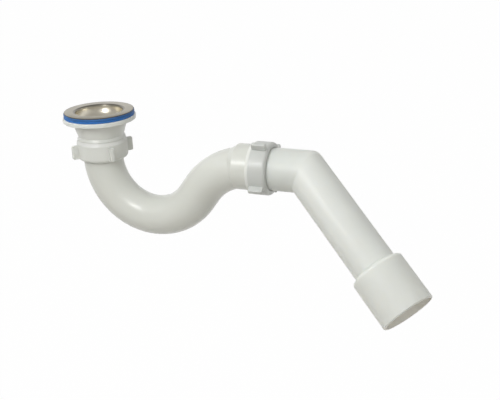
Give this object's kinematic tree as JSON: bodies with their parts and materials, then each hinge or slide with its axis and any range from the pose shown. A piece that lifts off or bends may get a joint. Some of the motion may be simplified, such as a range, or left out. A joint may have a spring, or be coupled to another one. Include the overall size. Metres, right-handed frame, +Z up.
{
  "type": "shower tray trap",
  "caption": "Tubular shower tray trap: stainless strainer on a plastic waste body, swan-neck water seal and a swivelling outlet elbow with a wider spigot end.",
  "frame": {"origin": "centre of the strainer flange's top face, on the waste axis", "axes": "+Z up along the waste axis, +X along the level outlet, -Y towards the side that the elbow is swung to"},
  "size_m": [0.3742, 0.1168, 0.1624],
  "materials": {
    "moulded_plastic": "satin",
    "nut_plastic": "semi-gloss",
    "washer_plastic": "smooth",
    "stainless_sheet": "brushed flange, polished bowl",
    "screw_steel": "turned",
    "insert_brass": "turned",
    "tray_seal_rubber": "matt",
    "pipe_seal_rubber": "matt"
  },
  "bodies": {
    "waste": {"strainer_cup": "stainless_sheet", "strainer_screw": "screw_steel", "upper_seal": "tray_seal_rubber", "lower_seal": "tray_seal_rubber", "waste_body": "moulded_plastic", "threaded_insert": "insert_brass"},
    "inlet_washer": {"inlet_slip_washer": "washer_plastic"},
    "inlet_nut": {"inlet_nut": "nut_plastic"},
    "inlet_seal": {"inlet_cone_seal": "pipe_seal_rubber"},
    "trap": {"trap_bend": "moulded_plastic"},
    "outlet_washer": {"outlet_slip_washer": "washer_plastic"},
    "outlet_nut": {"outlet_nut": "nut_plastic"},
    "outlet_seal": {"outlet_cone_seal": "pipe_seal_rubber"},
    "elbow": {"outlet_elbow": "moulded_plastic"}
  },
  "joints": [
    {"name": "inlet_nut_travel", "type": "slide", "parent": "waste", "child": "inlet_washer", "axis": [0, 0, -1], "range_m": [0, 0.00751]},
    {"name": "inlet_nut_turn", "type": "hinge", "parent": "inlet_washer", "child": "inlet_nut", "pos_m": [0, 0, -0.028], "axis": [0, 0, -1], "range_deg": [0, 1080]},
    {"name": "trap_swivel", "type": "hinge", "parent": "waste", "child": "inlet_seal", "pos_m": [0, 0, -0.0395], "axis": [0, 0, 1], "continuous": true},
    {"name": "trap_slip", "type": "slide", "parent": "inlet_seal", "child": "trap", "axis": [0, 0, -1], "range_m": [0, 0.008]},
    {"name": "outlet_nut_travel", "type": "slide", "parent": "trap", "child": "outlet_washer", "axis": [1, 0, 0], "range_m": [0, 0.00751]},
    {"name": "outlet_nut_turn", "type": "hinge", "parent": "outlet_washer", "child": "outlet_nut", "pos_m": [0.16138, 0, -0.04541], "axis": [1, 0, 0], "range_deg": [0, 1080]},
    {"name": "outlet_swivel", "type": "hinge", "parent": "trap", "child": "outlet_seal", "pos_m": [0.1729, 0, -0.04541], "axis": [1, 0, 0], "continuous": true},
    {"name": "outlet_slip", "type": "slide", "parent": "outlet_seal", "child": "elbow", "axis": [1, 0, 0], "range_m": [-0.004, 0.01]}
  ],
  "couplings": [
    {"joint": "inlet_nut_travel", "follows": "inlet_nut_turn", "m_per_rad": 0.00039789},
    {"joint": "outlet_nut_travel", "follows": "outlet_nut_turn", "m_per_rad": 0.00039789}
  ]
}
